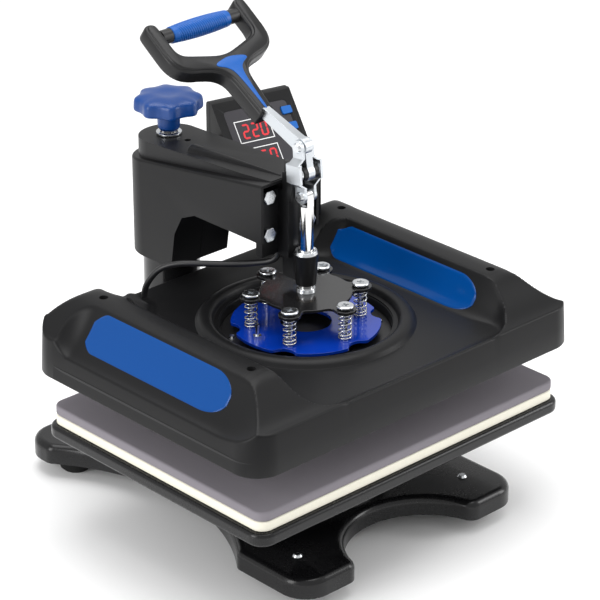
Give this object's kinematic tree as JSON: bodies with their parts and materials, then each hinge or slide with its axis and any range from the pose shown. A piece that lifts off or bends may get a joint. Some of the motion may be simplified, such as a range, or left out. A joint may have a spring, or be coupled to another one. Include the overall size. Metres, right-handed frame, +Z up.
{
  "type": "heat press",
  "caption": "Swing-away bench heat press: cast base and padded lower platen, column, pivoting arm with toggle handle, sprung heated upper platen and control box.",
  "frame": {"origin": "on the bench, below the middle of the machine's bounding box", "axes": "+X operator's right, +Y away from the operator, +Z up"},
  "size_m": [0.4114, 0.4098, 0.4643],
  "materials": {
    "cast_black": "gloss black enamel",
    "foot_rubber": "matte",
    "zinc": "bright zinc",
    "black_steel": "satin black powder coat",
    "column_paint": "gloss black",
    "lower_plate": "black coated",
    "silicone": "matte cream silicone",
    "sponge": "matte grey silicone sponge",
    "steel": "brushed",
    "bearing": "plain bearing plastic",
    "bronze": "sintered bronze",
    "arm_plastic": "fine grain",
    "cover_plastic": "fine grain",
    "knob_plastic": "satin blue",
    "handle_plastic": "satin black",
    "blue_trim": "gloss blue",
    "grip_rubber": "soft blue",
    "float_blue": "gloss blue",
    "spring_steel": "bright",
    "heater_alu": "non-stick coated below",
    "window_blue": "gloss deep blue",
    "box_plastic": "fine grain",
    "panel_film": "satin film",
    "button_blue": "satin",
    "board_green": "board",
    "inlet_plastic": "satin",
    "lead_sleeve": "woven sleeve"
  },
  "bodies": {
    "base": {"base_casting": "cast_black", "rubber_feet": "foot_rubber", "foot_screws": "zinc", "pedestal": "cast_black", "platen_bolts": "zinc", "lower_platen": "lower_plate", "silicone_pad": "silicone", "sponge_pad": "sponge", "column": "column_paint", "column_bolts": "zinc", "column_cap": "steel"},
    "swing_carriage": {"swing_bush": "bearing", "thrust_disc": "bearing"},
    "arm": {"arm_core": "black_steel", "left_arm_cover": "arm_plastic", "right_arm_cover": "arm_plastic", "deck_cover": "arm_plastic", "arm_cover_screws": "zinc", "toggle_bracket": "black_steel", "bracket_bolts": "zinc", "guide_bush": "bronze", "guide_ring": "zinc", "pivot_pin": "zinc", "knob_washer": "zinc", "heater_lead": "lead_sleeve", "control_box_front": "box_plastic", "control_box_back": "box_plastic", "control_box_stay": "black_steel", "display_panel": "panel_film", "control_board": "board_green", "power_inlet": "inlet_plastic"},
    "knob": {"height_knob": "knob_plastic", "knob_spindle": "steel"},
    "handle": {"handle_frame": "handle_plastic", "handle_inlay": "blue_trim", "grip_rod": "steel", "grip_sleeve": "grip_rubber", "grip_collars": "grip_rubber", "lever_bar": "zinc"},
    "link": {"link_plate_left": "zinc", "link_plate_right": "zinc", "link_rivets": "zinc"},
    "plunger": {"plunger_rod": "steel", "plunger_collar": "zinc", "plunger_nut": "zinc", "star_plate": "black_steel"},
    "platen": {"float_plate": "float_blue", "shoulder_bolts": "zinc", "pressure_springs": "spring_steel", "heating_plate": "heater_alu", "well_sheet": "black_steel", "well_fasteners": "zinc", "upper_cover": "cover_plastic", "cover_windows": "window_blue", "cover_screws": "zinc"},
    "set": {"set_button": "button_blue"},
    "up": {"up_button": "button_blue"},
    "down": {"down_button": "button_blue"},
    "start": {"start_button": "button_blue"},
    "rocker": {"power_rocker": "inlet_plastic"}
  },
  "joints": [
    {"name": "arm_swing", "type": "hinge", "parent": "base", "child": "swing_carriage", "pos_m": [0, 0.13985, 0.25], "axis": [0, 0, 1], "continuous": true},
    {"name": "arm_lift", "type": "slide", "parent": "swing_carriage", "child": "arm", "axis": [0, 0, 1], "range_m": [0, 0.008]},
    {"name": "knob_turn", "type": "hinge", "parent": "arm", "child": "knob", "pos_m": [0, 0.13985, 0.36], "axis": [0, 0, 1], "range_deg": [0, 1441]},
    {"name": "plunger_slide", "type": "slide", "parent": "arm", "child": "plunger", "axis": [0, 0, -1], "range_m": [0, 0.0365], "deforming": ["heater_lead"]},
    {"name": "handle_turn", "type": "hinge", "parent": "arm", "child": "handle", "pos_m": [0, -0.05015, 0.3485], "axis": [1, 0, 0], "range_deg": [0, 140.2]},
    {"name": "link_turn", "type": "hinge", "parent": "handle", "child": "link", "pos_m": [0, -0.04635, 0.3726], "axis": [1, 0, 0], "range_deg": [-112.46, 0]},
    {"name": "platen_float", "type": "slide", "parent": "plunger", "child": "platen", "axis": [0, 0, 1], "range_m": [0, 0.008], "stiffness_N_per_m": 20000, "springref_m": -0.004, "deforming": ["pressure_springs"]},
    {"name": "set_press", "type": "slide", "parent": "arm", "child": "set", "axis": [0.1569, 0.7382, -0.6561], "range_m": [0, 0.001], "stiffness_N_per_m": 600, "springref_m": -0.0005},
    {"name": "up_press", "type": "slide", "parent": "arm", "child": "up", "axis": [0.1569, 0.7382, -0.6561], "range_m": [0, 0.001], "stiffness_N_per_m": 600, "springref_m": -0.0005},
    {"name": "down_press", "type": "slide", "parent": "arm", "child": "down", "axis": [0.1569, 0.7382, -0.6561], "range_m": [0, 0.001], "stiffness_N_per_m": 600, "springref_m": -0.0005},
    {"name": "start_press", "type": "slide", "parent": "arm", "child": "start", "axis": [0.1569, 0.7382, -0.6561], "range_m": [0, 0.001], "stiffness_N_per_m": 600, "springref_m": -0.0005},
    {"name": "rocker_tilt", "type": "hinge", "parent": "arm", "child": "rocker", "pos_m": [0.11288, 0.13079, 0.262], "axis": [0, 0, 1], "range_deg": [-8, 8]}
  ],
  "couplings": [
    {"joint": "handle_turn", "follows": "plunger_slide", "rad_per_m": 66.944},
    {"joint": "link_turn", "follows": "plunger_slide", "rad_per_m": -53.632},
    {"joint": "knob_turn", "follows": "arm_lift", "rad_per_m": 3141.6}
  ]
}
